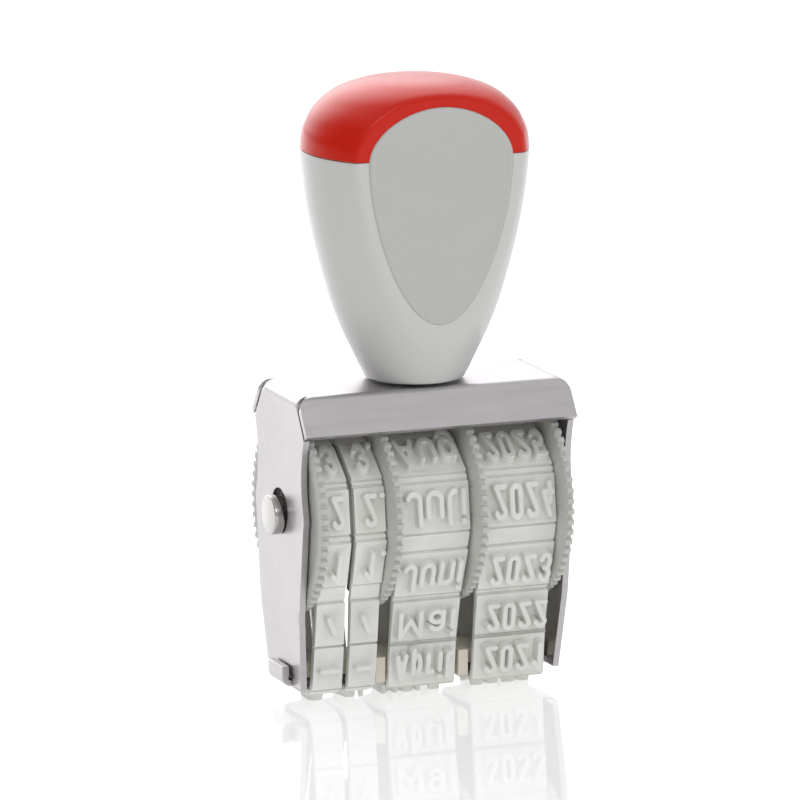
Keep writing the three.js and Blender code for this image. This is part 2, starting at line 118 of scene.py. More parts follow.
# what stands on the bands, from the printing position round against the path of the band
DAY_TENS = ["0", "-", "/", "1", "2", "3"] * 2
DAY_UNITS = ["0.", "-", "/", "1.", "2.", "3.", "4.", "5.", "6.", "7.", "8.", "9."]
MONTHS = ["März", "April", "Mai", "Juni", "Juli", "Aug", "Sept", "Okt", "Nov", "Dez", "Jan", "Feb"]
YEARS = [str(2020 + i) for i in range(12)]


# ---------- meshes ----------
def mesh_object(name, verts, faces):
    """A new object in the scene from points in millimetres."""
    mesh = bpy.data.meshes.new(name)
    mesh.from_pydata([Vector(v) * MM for v in verts], [], faces)
    mesh.validate()
    obj = bpy.data.objects.new(name, mesh)
    bpy.context.scene.collection.objects.link(obj)
    return obj


def applied(obj):
    """Bakes the modifiers of an object into its mesh."""
    bpy.context.view_layer.update()
    graph = bpy.context.evaluated_depsgraph_get()
    mesh = bpy.data.meshes.new_from_object(obj.evaluated_get(graph), depsgraph=graph)
    obj.modifiers.clear()
    obj.data = mesh
    return obj


def welded(obj, reach):
    """Joins the points that lie within reach of each other."""
    mod = obj.modifiers.new("weld", "WELD")
    mod.merge_threshold = reach * MM
    return applied(obj)


def boolean(obj, other, operation, solver="MANIFOLD"):
    """Joins another solid to an object or cuts it away, and removes the other."""
    mod = obj.modifiers.new("boolean", "BOOLEAN")
    mod.operation = operation
    mod.solver = solver
    mod.object = other
    applied(obj)
    bpy.data.objects.remove(other)
    return obj


def rounded(obj, width, segments=2, angle=35):
    """Rounds the edges that are sharper than the angle."""
    mod = obj.modifiers.new("bevel", "BEVEL")
    mod.width = width * MM
    mod.segments = segments
    mod.limit_method = "ANGLE"
    mod.angle_limit = math.radians(angle)
    mod.use_clamp_overlap = True
    return applied(obj)


def shaded(obj, angle=40):
    """Smooth shading with flat faces kept flat."""
    obj.data.shade_smooth()
    obj.data.set_sharp_from_angle(angle=math.radians(angle))
    mod = obj.modifiers.new("normals", "WEIGHTED_NORMAL")
    mod.keep_sharp = True
    mod.weight = 80
    return obj


def finished(obj, body, material, slot, *nodes):
    """Gives a piece its material and body in place of the nodes it replaces. The slot is not used."""
    obj.data.materials.clear()
    obj.data.materials.append(material)
    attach(obj, body)
    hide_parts(*nodes)
    return obj


def rounded_path(corners, closed, steps=8):
    """Points and right-hand normals along a path whose corners (x, y, r) are rounded."""
    pts = [Vector(c[:2]) for c in corners]
    count = len(pts)

    def heading(i):
        return (pts[(i + 1) % count] - pts[i % count]).normalized()

    def right(d):
        return Vector((d.y, -d.x))

    path = [] if closed else [(pts[0], right(heading(0)))]
    for i in range(0 if closed else 1, count if closed else count - 1):
        before, after = heading(i - 1), heading(i)
        turn = math.atan2(before.x * after.y - before.y * after.x, before.dot(after))
        radius = corners[i][2]
        side = math.copysign(1, turn)
        start = pts[i] - before * radius * math.tan(abs(turn) / 2)
        centre = start - right(before) * side * radius
        for k in range(steps + 1):
            n = right(Matrix.Rotation(turn * k / steps, 2) @ before)
            path.append((centre + n * side * radius, n))
    if not closed:
        path.append((pts[-1], right(heading(count - 2))))
    return path


def subdivided(path, step):
    """The same path with extra points on its long stretches."""
    out = [path[0]]
    for (p, n), (q, m) in zip(path, path[1:]):
        pieces = max(1, math.ceil((q - p).length / step))
        out += [(p.lerp(q, k / pieces), n.lerp(m, k / pieces).normalized()) for k in range(1, pieces + 1)]
    return out


def grid_faces(rows, columns, close_rows=False, close_columns=False):
    """Quads between rows of points, going round where they close."""
    faces = []
    for i in range(rows if close_rows else rows - 1):
        for j in range(columns if close_columns else columns - 1):
            a, b = i * columns + j, i * columns + (j + 1) % columns
            c, d = ((i + 1) % rows) * columns + (j + 1) % columns, ((i + 1) % rows) * columns + j
            faces.append((a, b, c, d))
    return faces


def prism(name, outline, axis, low, high):
    """A flat outline drawn out along X (outline in y, z) or along Y (outline in x, z)."""
    def place(p, t):
        return (t, p[0], p[1]) if axis == "x" else (p[0], t, p[1])

    n = len(outline)
    verts = [place(p, low) for p in outline] + [place(p, high) for p in outline]
    sides = [(i, (i + 1) % n, n + (i + 1) % n, n + i) for i in range(n)]
    faces = sides + [tuple(reversed(range(n))), tuple(range(n, 2 * n))]
    if axis == "y":
        faces = [tuple(reversed(f)) for f in faces]
    return mesh_object(name, verts, faces)


def block(name, low, high):
    """A box between two opposite corners."""
    (x0, y0, z0), (x1, y1, z1) = low, high
    return prism(name, [(y0, z0), (y1, z0), (y1, z1), (y0, z1)], "x", x0, x1)


def axle_turned(name, profile, steps=96):
    """A round solid about the axle from (radius, x) pairs that start and end on the axis."""
    return turned(name, profile, steps, lambda r, t, x: (x, r * math.cos(t), AXLE_Z + r * math.sin(t)))


def turned(name, profile, steps, place):
    """A closed solid from rings of (radius, tag) pairs: place(radius, angle, tag) gives each point."""
    verts, rings, faces = [], [], []
    for r, t in profile:
        if r < 1e-9:
            rings.append([len(verts)] * steps)
            verts.append(place(0.0, 0.0, t))
        else:
            rings.append(list(range(len(verts), len(verts) + steps)))
            verts += [place(r, 2 * math.pi * k / steps, t) for k in range(steps)]
    for low, high in zip(rings, rings[1:]):
        for k in range(steps):
            a, b = low[k], low[(k + 1) % steps]
            c, d = high[(k + 1) % steps], high[k]
            face = tuple(dict.fromkeys((a, b, c, d)))
            if len(face) > 2:
                faces.append(face)
    return outward(mesh_object(name, verts, faces))


def outward(obj):
    """Turns a closed mesh's faces outwards."""
    mesh = obj.data
    volume = 0.0
    for poly in mesh.polygons:
        corners = [mesh.vertices[i].co for i in poly.vertices]
        for a, b in zip(corners[1:], corners[2:]):
            volume += corners[0].dot(a.cross(b))
    if volume < 0:
        mesh.flip_normals()
    return obj


def face_one_way(obj):
    """Makes the faces of an open sheet agree, with its highest face looking up."""
    shell = bmesh.new()
    shell.from_mesh(obj.data)
    bmesh.ops.recalc_face_normals(shell, faces=shell.faces)
    top = max(shell.faces, key=lambda f: (round(f.calc_center_median().z, 6), f.calc_area()))
    if top.normal.z < 0:
        bmesh.ops.reverse_faces(shell, faces=shell.faces)
    shell.to_mesh(obj.data)
    shell.free()


# ---------- frame ----------
def cheek_half_depth(z):
    """Half depth of the side cheeks at a height: out to a belly, in to a waist, out and in to a neck."""
    foot, belly, waist, shoulder, neck = (CHEEK[k] for k in ("foot", "belly", "waist", "shoulder", "neck"))
    belly_low, belly_high = CHEEK_Z["belly"]
    shoulder_z, neck_z = CHEEK_Z["shoulder"], CHEEK_Z["neck"]
    if z < belly_low:
        return foot + (belly - foot) * (z - FOOT_Z) / (belly_low - FOOT_Z)
    if z < belly_high:
        return belly + CHEEK["bulge"] * math.sin(math.pi * (z - belly_low) / (belly_high - belly_low))
    if z < shoulder_z:
        t = (z - belly_high) / (shoulder_z - belly_high)
        return (1 - t) ** 2 * belly + 2 * t * (1 - t) * waist + t * t * shoulder
    if z < neck_z:
        return shoulder + (neck - shoulder) * (z - shoulder_z) / (neck_z - shoulder_z)
    return neck


SHEET_COLUMNS = 14
SHEET_STEP = 0.9


def frame_sheet():
    """One bent sheet of even thickness: two cheeks and two eaves hang from the roof."""
    across = [2 * k / SHEET_COLUMNS - 1 for k in range(SHEET_COLUMNS + 1)]
    arch = subdivided(rounded_path([
        (FOOT_HALF_W, FOOT_Z), (HALF_W, LEAN["z"], LEAN["r"]), (HALF_W, ROOF_TOP, BEND_R),
        (-HALF_W, ROOF_TOP, BEND_R), (-HALF_W, LEAN["z"], LEAN["r"]), (-FOOT_HALF_W, FOOT_Z),
    ], False), SHEET_STEP)
    verts = [(p.x, g * cheek_half_depth(p.y), p.y) for p, _ in arch for g in across]
    faces = grid_faces(len(arch), len(across))
    eave = subdivided(rounded_path([
        (CHEEK["neck"], ROOF_TOP), (ROOF_HALF_D, ROOF_TOP, EAVE["r"]), (EAVE["y"], EAVE["z"]),
    ], False), SHEET_STEP)
    flat_x = HALF_W - BEND_R
    roof_x = [p.x for p, _ in arch if abs(p.x) <= flat_x + 1e-6 and p.y > ROOF_TOP - 1e-6]
    for side in (-1, 1):
        start = len(verts)
        for p, _ in eave:
            drop = max(0.0, p.y - (ROOF_TOP - BEND_R))
            half = HALF_W - BEND_R + math.sqrt(max(BEND_R ** 2 - drop ** 2, 0.0))
            verts += [(x / flat_x * half, side * p.x, p.y) for x in roof_x]
        strip = [tuple(start + i for i in f) for f in grid_faces(len(eave), len(roof_x))]
        faces += [tuple(reversed(f)) for f in strip] if side < 0 else strip
    obj = welded(mesh_object("frame_sheet", verts, faces), 0.01)
    face_one_way(obj)
    thick = obj.modifiers.new("thickness", "SOLIDIFY")
    thick.thickness = SHEET * MM
    thick.offset = -1
    thick.use_even_offset = True
    return applied(obj)


def make_frame():
    """The bent sheet with its axle holes, the notches for the bridge and the screw hole."""
    obj = frame_sheet()
    steps, notch = 64, FOOT_NOTCH["half"]
    ring = [(HOLE["r"] * math.cos(2 * math.pi * k / steps),
             HOLE["z"] + HOLE["r"] * math.sin(2 * math.pi * k / steps)) for k in range(steps)]
    for low, high in ((-25, -10), (10, 25)):
        boolean(obj, prism("cutter", ring, "x", low, high), "DIFFERENCE")
        boolean(obj, block("cutter", (low, -notch, 0), (high, notch, FOOT_NOTCH["top"])), "DIFFERENCE")
    r, low, high = SCREW_HOLE_R, ROOF_TOP - 2.7, ROOF_TOP + 2.3
    screw = turned("cutter", [(0, low), (r, low), (r, high), (0, high)], 32,
                   lambda r, t, z: (r * math.cos(t), r * math.sin(t), z))
    boolean(obj, screw, "DIFFERENCE")
    return shaded(rounded(obj, 0.16, 3, 50))


# ---------- handle ----------
# outlines of the handle below and above its seam, as (half width, height)
FLANK = [
    (6.0, HANDLE_BASE), (6.55, 41.5), (7.95, 44.3), (9.45, 47.5), (10.7, 50.8), (11.65, 54.0),
    (12.5, 57.2), (13.25, 60.5), (13.85, 63.7), (14.3, 67.0), (14.62, SEAM_Z),
]
CROWN = [
    (14.62, SEAM_Z), (14.38, 72.7), (13.9, 74.0), (13.2, 75.3), (12.1, 76.55), (10.4, 77.85),
    (8.0, 78.85), (5.0, 79.5), (0, 79.8),
]
HANDLE_STEPS = 360
CREASE = 0.75
INNER_CREASE = 0.4
POCKET_FIT = 0.012
POCKET_REACH_Y = 14.0
NICK = {"x": -2.6, "z": 76.68, "r": 0.32, "floor_y": 8.9}


def spline(points, per_span):
    """A smooth curve through points."""
    pts = [Vector(p) for p in points]
    ends = [pts[0] * 2 - pts[1]] + pts + [pts[-1] * 2 - pts[-2]]
    out = [pts[0]]
    for a, b, c, d in zip(ends, ends[1:], ends[2:], ends[3:]):
        for k in range(1, per_span + 1):
            t = k / per_span
            out.append(0.5 * ((2 * b) + (c - a) * t + (2 * a - 5 * b + 4 * c - d) * t * t
                              + (3 * b - a - 3 * c + d) * t ** 3))
    return [(max(p.x, 0.0), p.y) for p in out]


def soft_min(a, b, width):
    """The smaller of two values, blended where they come within a width of each other."""
    h = max(width - abs(a - b), 0.0) / width
    return min(a, b) - h * h * width / 4


def flattened(flat, crease):
    """Places a turned point about the handle's axis, with two flats cut by soft creases."""
    def place(r, t, z):
        x, y = r * math.cos(t), r * math.sin(t)
        return (x, math.copysign(soft_min(abs(y), flat, crease), y), z)
    return place


def handle_shell(name, outer, inner, closed=False):
    """A hollow shell from an outer profile, going up, and an inner one, coming down."""
    place_out, place_in = flattened(FLAT_Y, CREASE), flattened(FLAT_Y - WALL, INNER_CREASE)
    profile = [(r, (z, place_out)) for r, z in outer] + [(r, (z, place_in)) for r, z in inner]
    if closed:
        profile.append(profile[0])
    return turned(name, profile, HANDLE_STEPS, lambda r, t, zp: zp[1](r, t, zp[0]))


def egg(inset, steps=28):
    """Outline of the panel, drawn in by an inset: two cubic curves on each side."""
    low, high, half_w, widest_z = PANEL["low"], PANEL["high"], PANEL["half_w"], PANEL["widest_z"]
    spans = [
        ((0, low), (5.3, low), (half_w, 62.3), (half_w, widest_z)),
        ((half_w, widest_z), (half_w, 73.8), (5.0, high), (0, high)),
    ]
    half = []
    for a, b, c, d in spans:
        for k in range(steps):
            t = k / steps
            half.append(tuple((1 - t) ** 3 * a[i] + 3 * t * (1 - t) ** 2 * b[i]
                              + 3 * t * t * (1 - t) * c[i] + t ** 3 * d[i] for i in (0, 1)))
    pts = half + [(0.0, high)] + [(-x, z) for x, z in reversed(half[1:])]
    out = []
    for i, p in enumerate(pts):
        before, after = Vector(pts[i - 1]), Vector(pts[(i + 1) % len(pts)])
        along = (after - before).normalized()
        out.append(Vector(p) + Vector((-along.y, along.x)) * inset)
    return out


def pocketed(obj):
    """Cuts the pockets of both panels into the flats, a hair wider than the panels."""
    for side in (-1, 1):
        low, high = sorted((side * POCKET_FLOOR_Y, side * POCKET_REACH_Y))
        boolean(obj, outward(prism("cutter", egg(-POCKET_FIT), "y", low, high)), "DIFFERENCE", "EXACT")
    return obj


def edge_arc(r, z, up, size=0.16, steps=4):
    """Rounds an outer edge at (r, z): a quarter turn from the wall to the end face."""
    out = []
    for k in range(steps + 1):
        t = math.pi / 2 * k / steps
        out.append((r - size * (1 - math.cos(t)), z - up * size * (1 - math.sin(t))))
    return out


def make_handle_body():
    """The grey grip: a hollow shell with a post inside that takes the screw."""
    top, core_r, bore_top = SEAM_Z - SEAM_GAP / 2, CORE["r"], CORE["bore_top"]
    bore = [(0, bore_top), (SCREW_HOLE_R, bore_top), (SCREW_HOLE_R, HANDLE_BASE)]
    foot = [(5.75, HANDLE_BASE), (6.2, HANDLE_BASE + 0.06), (6.42, HANDLE_BASE + 0.2)]
    wall = [p for p in spline(FLANK, 8) if HANDLE_BASE + 0.4 < p[1] < top - 0.2]
    outer = bore + foot + wall + edge_arc(SEAM_R, top, 1)
    inner = [(r - WALL, z) for r, z in reversed(FLANK) if z >= CAVITY_Z]
    core = [(core_r, CAVITY_Z), (core_r, CORE["top"]), (0, CORE["top"])]
    inner = [(inner[0][0], top)] + inner[1:] + core
    return shaded(pocketed(handle_shell("handle_grip", outer, inner)), 45)


def make_handle_cap():
    """The red crown: a hollow dome that closes the grip."""
    foot = SEAM_Z + SEAM_GAP / 2
    rise = [p for p in spline(CROWN, 8) if p[1] > foot + 0.2]
    outer = edge_arc(SEAM_R, foot, -1)[::-1] + rise
    inner = [(max(r - WALL, 0), z - WALL) for r, z in reversed(CROWN[1:])]
    inner += [(SKIRT_R, foot + 1), (SKIRT_R, foot)]
    obj = handle_shell("handle_crown", outer, inner, closed=True)
    return shaded(pocketed(welded(obj, 0.005)), 45)


def make_panel(side):
    """The inlaid egg-shaped plate: a low raised lip runs round its face."""
    # (inset, distance from the handle's middle) from the pocket's floor out to the face
    section = [
        (0.0, POCKET_FLOOR_Y + 0.05), (0.0, 9.18), (0.04, 9.27), (0.12, 9.345), (0.24, 9.385),
        (0.40, 9.39), (0.56, 9.37), (0.74, PANEL_FACE_Y),
    ]
    rings = [egg(inset) for inset, _ in section]
    n = len(rings[0])
    verts = [(p.x, side * y, p.y) for ring, (_, y) in zip(rings, section) for p in ring]
    faces = grid_faces(len(rings), n, close_columns=True)
    faces += [tuple(range(n)), tuple((len(rings) - 1) * n + i for i in range(n))[::-1]]
    obj = mesh_object("front_plate" if side < 0 else "rear_plate", verts, faces)
    outward(obj)
    r, floor_y = NICK["r"], NICK["floor_y"]
    nick = turned("cutter", [(0, floor_y), (r, floor_y), (r, 10), (0, 10)], 24,
                  lambda r, t, y: (NICK["x"] + r * math.cos(t), side * y, NICK["z"] + r * math.sin(t)))
    boolean(obj, outward(nick), "DIFFERENCE")
    return shaded(obj, 40)


# ---------- axle and wheels ----------
TOOTH_GAIN = 1.7
TOOTH_STEPS = 14


def make_axle():
    """A plain rod with a neck inside each cheek and a head outside it."""
    neck = [(AXLE_NECK_R, 17.25), (AXLE_NECK_R, 18.6), (AXLE_R - 0.06, 18.62), (AXLE_R, 18.7)]
    head = [(AXLE_R, AXLE_END - 0.15), (AXLE_R - 0.03, AXLE_END - 0.07), (AXLE_R - 0.1, AXLE_END - 0.02),
            (AXLE_R - 0.21, AXLE_END), (0, AXLE_END)]
    end = neck + head
    profile = [(r, -x) for r, x in reversed(end)] + [(AXLE_R, -17.2), (AXLE_R, 17.2)] + end
    return shaded(axle_turned("axle_pin", profile, 128), 40)


def tooth_radius(turn):
    """Radius of the rim at a share of a full turn: a wave cut off at the tips and the roots."""
    wave = math.cos(2 * math.pi * turn * TEETH)
    t = min(max(0.5 + wave * TOOTH_GAIN, 0.0), 1.0)
    return TOOTH_ROOT_R + (TOOTH_TIP_R - TOOTH_ROOT_R) * t * t * (3 - 2 * t)


def make_wheel(name, rim, drum):
    """A toothed thumb rim on one side of a round drum, its outer face slightly dished."""
    x0, x1 = rim, rim + RIM_W
    out_side = 1 if rim > sum(drum) / 2 else -1
    far = drum[0] if out_side > 0 else drum[1]
    near, back = (x1, x0) if out_side > 0 else (x0, x1)
    s = out_side
    inner, outer, slope = RECESS["inner"], RECESS["outer"], RECESS["slope"]
    sunk = near - s * RECESS["depth"]
    teeth = [(-0.15, near), (-0.04, near - s * 0.05), (0.0, near - s * 0.15),
             (0.0, back + s * 0.15), (-0.04, back + s * 0.05), (-0.15, back)]
    plain = [(BORE_R, near), (inner, near), (inner + slope, sunk), (outer - slope, sunk), (outer, near)]
    hub = [(DRUM_R + 0.3, back), (DRUM_R, back - s * 0.3), (DRUM_R, far + s * 0.25),
           (DRUM_R - 0.07, far + s * 0.07), (DRUM_R - 0.25, far), (BORE_R, far), (BORE_R, near)]
    profile = [(r, (x, None)) for r, x in plain] + [(1, (x, d)) for d, x in teeth]
    profile += [(r, (x, None)) for r, x in hub]

    def place(r, t, spec):
        x, tooth = spec
        radius = r if tooth is None else tooth_radius(t / (2 * math.pi)) + tooth
        return (x, radius * math.cos(t), AXLE_Z + radius * math.sin(t))

    obj = turned(name + "_thumb_wheel", profile, TEETH * TOOTH_STEPS, place)
    return shaded(welded(obj, 0.003), 45)


# ---------- type ----------
# half widths and heights of a raised line, from its foot up: drafted flanks and a rounded top
STROKE = [(0.47, -0.05), (0.43, 0.04), (0.395, 0.14), (0.35, 0.84), (0.33, 0.97), (0.265, TYPE_T)]
LINE_W = 0.7
TYPE_H = 3.3
X_HEIGHT = 2.5
CAP_STEPS = 8


def arc(cx, cy, rx, ry, start, end, steps=12):
    """Points along part of an ellipse, between two angles in degrees."""
    span = [math.radians(start + (end - start) * k / steps) for k in range(steps + 1)]
    return [(cx + rx * math.cos(t), cy + ry * math.sin(t)) for t in span]


def glyph_strokes(char, w):
    """Centre lines of a character in a cell of width w: open lines, or closed where the ends meet."""
    h, x, r = TYPE_H, X_HEIGHT, w / 2
    turn = min(r, 0.75)
    bowl = arc(r, x / 2, r, x / 2, 0, 360, 24)
    oval = arc(r, h - turn, r, turn, 0, 180) + arc(r, turn, r, turn, 180, 360) + [(w, h - turn)]
    small_a = [arc(r, x - turn, r, turn, 150, 0) + [(w, 0)], arc(r, x * 0.3, r, x * 0.3, 0, 360, 24)]
    table = {
        "0": [oval],
        "1": [[(w * 0.7, 0), (w * 0.7, h)], [(w * 0.7, h), (w * 0.05, h - 0.75)]],
        "2": [arc(r, h - turn, r, turn, 170, -32) + [(0, 0)], [(0, 0), (w, 0)]],
        "3": [arc(r, h * 0.76, r, h * 0.24, 165, -90), arc(r, h * 0.26, r, h * 0.26, 90, -165)],
        "4": [[(w * 0.6, h), (0, h * 0.28)], [(0, h * 0.28), (w, h * 0.28)],
              [(w * 0.72, h * 0.6), (w * 0.72, 0)]],
        "5": [[(w, h), (w * 0.06, h)], [(w * 0.06, h), (0, h * 0.5)],
              arc(r, h * 0.3, r, h * 0.3, 140, -150)],
        "6": [arc(r, h * 0.29, r, h * 0.29, 0, 360, 24),
              arc(w * 1.1, h * 0.35, w * 1.1, h * 0.65, 180, 100)],
        "7": [[(0, h), (w, h)], [(w, h), (w * 0.3, 0)]],
        "8": [arc(r, h * 0.76, r * 0.9, h * 0.24, 0, 360, 24), arc(r, h * 0.26, r, h * 0.26, 0, 360, 24)],
        "9": [arc(r, h * 0.71, r, h * 0.29, 0, 360, 24),
              arc(-w * 0.1, h * 0.65, w * 1.1, h * 0.65, 0, -80)],
        "/": [[(w * 0.15, h * 0.16), (w * 0.85, h * 0.78)]],
        "-": [[(-0.35, h * 0.5), (w + 0.35, h * 0.5)]],
        ".": [[(-0.03, 0), (0.03, 0)]],
        "J": [[(w, h), (w, turn)] + arc(r, turn, r, turn, 0, -160)],
        "u": [[(0, x), (0, turn)] + arc(r, turn, r, turn, 180, 360) + [(w, x)]],
        "l": [[(0, h), (0, w)] + arc(w, w, w, w, 180, 270, 6)],
        "i": [[(0, 0), (0, x * 0.92)], [(-0.03, h), (0.03, h)]],
        "n": [[(0, 0), (0, x)], arc(r, x - turn, r, turn, 180, 0) + [(w, 0)]],
        "M": [[(0, 0), (0, h)], [(0, h), (r, h * 0.3)], [(r, h * 0.3), (w, h)], [(w, h), (w, 0)]],
        "a": small_a,
        "A": [[(0, 0), (r, h)], [(r, h), (w, 0)], [(w * 0.16, h * 0.3), (w * 0.84, h * 0.3)]],
        "p": [[(0, x), (0, -0.75)], bowl],
        "r": [[(0, 0), (0, x)], arc(w * 0.8, x - turn, w * 0.8, turn, 180, 70)],
        "g": [bowl, [(w, x), (w, -0.1)] + arc(r, -0.15, r, r * 0.9, 0, -150)],
        "S": [arc(r, h * 0.75, r, h * 0.25, 25, 270), arc(r, h * 0.25, r, h * 0.25, 90, -155)],
        "e": [[(0, x * 0.52), (w, x * 0.52)], arc(r, x / 2, r, x / 2, 3, 315, 20)],
        "t": [[(w * 0.35, h * 0.95), (w * 0.35, 0.35), (w * 0.5, 0.08), (w, 0)], [(0, x), (w, x)]],
        "O": [oval],
        "k": [[(0, 0), (0, h)], [(0, x * 0.42), (w, x)], [(w * 0.32, x * 0.56), (w, 0)]],
        "N": [[(0, 0), (0, h)], [(0, h), (w, 0)], [(w, 0), (w, h)]],
        "o": [bowl],
        "v": [[(0, x), (r, 0)], [(r, 0), (w, x)]],
        "D": [[(0, 0), (0, h)], [(0, h), (w - r, h)] + arc(w - r, h / 2, r, h / 2, 90, -90) + [(0, 0)]],
        "z": [[(0, x), (w, x)], [(w, x), (0, 0)], [(0, 0), (w, 0)]],
        "b": [[(0, 0), (0, h)], bowl],
        "F": [[(0, 0), (0, h)], [(0, h), (w, h)], [(0, h * 0.52), (w * 0.85, h * 0.52)]],
        "ä": small_a + [[(w * 0.02, h), (w * 0.02 + 0.06, h)], [(w * 0.98 - 0.06, h), (w * 0.98, h)]],
    }
    return table[char]


# widths between the middles of a letter's outer lines, before a word is widened to fill its block
LETTER_W = {
    "J": 1.0, "u": 1.1, "l": 0.5, "i": 0.0, "n": 1.1, "M": 1.7, "a": 1.05, "ä": 1.05, "A": 1.4, "p": 1.1,
    "r": 0.7, "g": 1.05, "S": 1.1, "e": 1.0, "t": 0.8, "O": 1.3, "k": 1.0, "N": 1.3, "o": 1.05, "v": 1.1,
    "D": 1.2, "z": 0.95, "b": 1.05, "F": 1.0,
}
DIGIT_W = 1.15
LETTER_GAP = 0.42
WIDEST = 1.65
MONTH_SPAN = (-5.25, 3.1)
YEAR_DIGITS = {"first": 7.75, "pitch": 2.2}
DAY_DIGIT = {"day_tens": -14.35, "day_units": -9.95}
POINT_SHIFT = 1.62
SWAY_TOP = 24.0
SWAY_RUN = 18.0
glyphs_made = {}


def closed_stroke(line, sides):
    """Points and faces of a raised line that runs round to its start."""
    loop = [(hw, z) for hw, z in STROKE] + [(-hw, z) for hw, z in reversed(STROKE)]
    verts = [(p.x + s.x * hw, p.y + s.y * hw, z) for hw, z in loop for p, s in zip(line, sides)]
    return verts, grid_faces(len(loop), len(line), close_rows=True, close_columns=True)


def open_stroke(line, sides):
    """Points and faces of a raised line with a round cap at each end."""
    n = len(line)
    count = 2 * n + 2 * (CAP_STEPS - 1)
    turns = [Matrix.Rotation(-math.pi * k / CAP_STEPS, 2) for k in range(1, CAP_STEPS)]
    verts = []
    for hw, z in STROKE:
        ring = [p + s * hw for p, s in zip(line, sides)]
        end = [line[-1] + turn @ sides[-1] * hw for turn in turns]
        back = [p - s * hw for p, s in zip(reversed(line), reversed(sides))]
        start = [line[0] - turn @ sides[0] * hw for turn in turns]
        verts += [(p.x, p.y, z) for p in ring + end + back + start]
    faces = grid_faces(len(STROKE), count, close_columns=True)
    other = [n + CAP_STEPS - 1 + (n - 1 - i) for i in range(n)]
    lids = [(i, i + 1, other[i + 1], other[i]) for i in range(n - 1)]
    lids.append(tuple(range(n - 1, n + CAP_STEPS)))
    lids.append((other[0], *range(other[0] + 1, count), 0))
    top = (len(STROKE) - 1) * count
    faces += [tuple(reversed(lid)) for lid in lids]
    faces += [tuple(top + i for i in lid) for lid in lids]
    return verts, faces


def stroke_solid(points):
    """A raised line with drafted flanks and round ends."""
    pts = [Vector(p) for p in points]
    clean = [pts[0]]
    for p in pts[1:]:
        if (p - clean[-1]).length > 1e-4:
            clean.append(p)
    closed = len(clean) > 3 and (clean[0] - clean[-1]).length < 1e-3
    if closed:
        clean.pop()
    n = len(clean)

    def along(i):
        a = clean[(i - 1) % n] if closed or i > 0 else clean[i]
        b = clean[(i + 1) % n] if closed or i < n - 1 else clean[i]
        return (b - a).normalized()

    sides = [Vector((-along(i).y, along(i).x)) for i in range(n)]
    shape = closed_stroke(clean, sides) if closed else open_stroke(clean, sides)
    return outward(mesh_object("stroke", *shape))


def glyph(char, w):
    """Vertices and faces of a raised character, made once for each width."""
    key = (char, round(w, 3))
    if key not in glyphs_made:
        parts = [stroke_solid(points) for points in glyph_strokes(char, w)]
        solid = parts[0]
        for other in parts[1:]:
            boolean(solid, other, "UNION")
        verts = [tuple(v.co / MM) for v in solid.data.vertices]
        faces = [tuple(f.vertices) for f in solid.data.polygons]
        bpy.data.objects.remove(solid)
        glyphs_made[key] = (verts, faces)
    return glyphs_made[key]


# ---------- bands ----------
# beside each block: distance from it and height over the band's inside, a groove and the block's flank
BLOCK_EDGE = [(0.34, WEB_T), (0.28, WEB_T - 0.2), (0.09, WEB_T - 0.2), (0.0, WEB_T + BLOCK_T)]
BLOCK_CLEAR = {"along": 0.37, "across": 0.6}
# how far the characters on each run are stretched along the band, and how its corners are rounded
CORNER_R = {"foot": 0.9, "facet": 1.5, "knee": 12.0}
TALL = {"foot": 1.0, "facet": 1.15, "day_front": 1.1, "long_front": 1.2, "upper": 1.12, "lower": 0.96}


def band_corners():
    """Corners (y, z, r) of the band's inside: the foot, the facets round the wheel and the knee."""
    corner = BAND_INNER / math.cos(math.pi / FACETS)
    over = []
    for i in range(FACETS_USED + 1):
        t = math.radians(-FACET_TILT + 360 / FACETS * (i - 0.5))
        over.append((corner * math.cos(t), AXLE_Z + corner * math.sin(t), CORNER_R["facet"]))
    foot = [(side * FOOT_CORNER_Y, BAND_T, CORNER_R["foot"]) for side in (-1, 1)]
    return foot + over + [(*KNEE, CORNER_R["knee"])]


def stations(blocks):
    """Type blocks in order along the path: middle on the inside of the band, heading, normal,
    length of the block and stretch of its characters."""
    corners = [Vector(c[:2]) for c in band_corners()]
    spans = [(0, 1, [0.5], BLOCK_L, TALL["foot"]), (1, 2, [0.17, 0.5, 0.83], BLOCK_L, TALL["foot"])]
    for i in range(FRONT_FACET):
        spans.append((i + 2, i + 3, [UPPER_SHARE if i == UPPER_FACET else 0.5], BLOCK_L, TALL["facet"]))
    tall = TALL["day_front" if blocks is DAY_BLOCKS else "long_front"]
    spans.append((FRONT_FACET + 2, FRONT_FACET + 3, [blocks["facet"]], blocks["length"], tall))
    knee = len(corners) - 1
    spans.append((knee - 1, knee, [blocks["upper"]], LONG_BLOCK_L, TALL["upper"]))
    spans.append((knee, 0, blocks["lower"], BLOCK_L, TALL["lower"]))
    out = []
    for a, b, shares, length, tall in spans:
        heading = (corners[b] - corners[a]).normalized()
        normal = Vector((heading.y, -heading.x))
        out += [(corners[a].lerp(corners[b], s), heading, normal, length, tall) for s in shares]
    return out


def travelled(path, p):
    """How far along a closed path the place nearest to a point lies."""
    best, so_far = (1e9, 0.0), 0.0
    for (a, _), (b, _) in zip(path, path[1:] + path[:1]):
        d = b - a
        t = min(max((p - a).dot(d) / max(d.length_squared, 1e-9), 0), 1)
        best = min(best, ((a + d * t - p).length, so_far + t * d.length))
        so_far += d.length
    return best[1]


def near_block(p, block):
    """Whether a point of the path lies within a block or its grooves."""
    centre, heading, normal, length, _ = block
    along, across = abs((p - centre).dot(heading)), abs((p - centre).dot(normal))
    return along < length / 2 + BLOCK_CLEAR["along"] and across < BLOCK_CLEAR["across"]


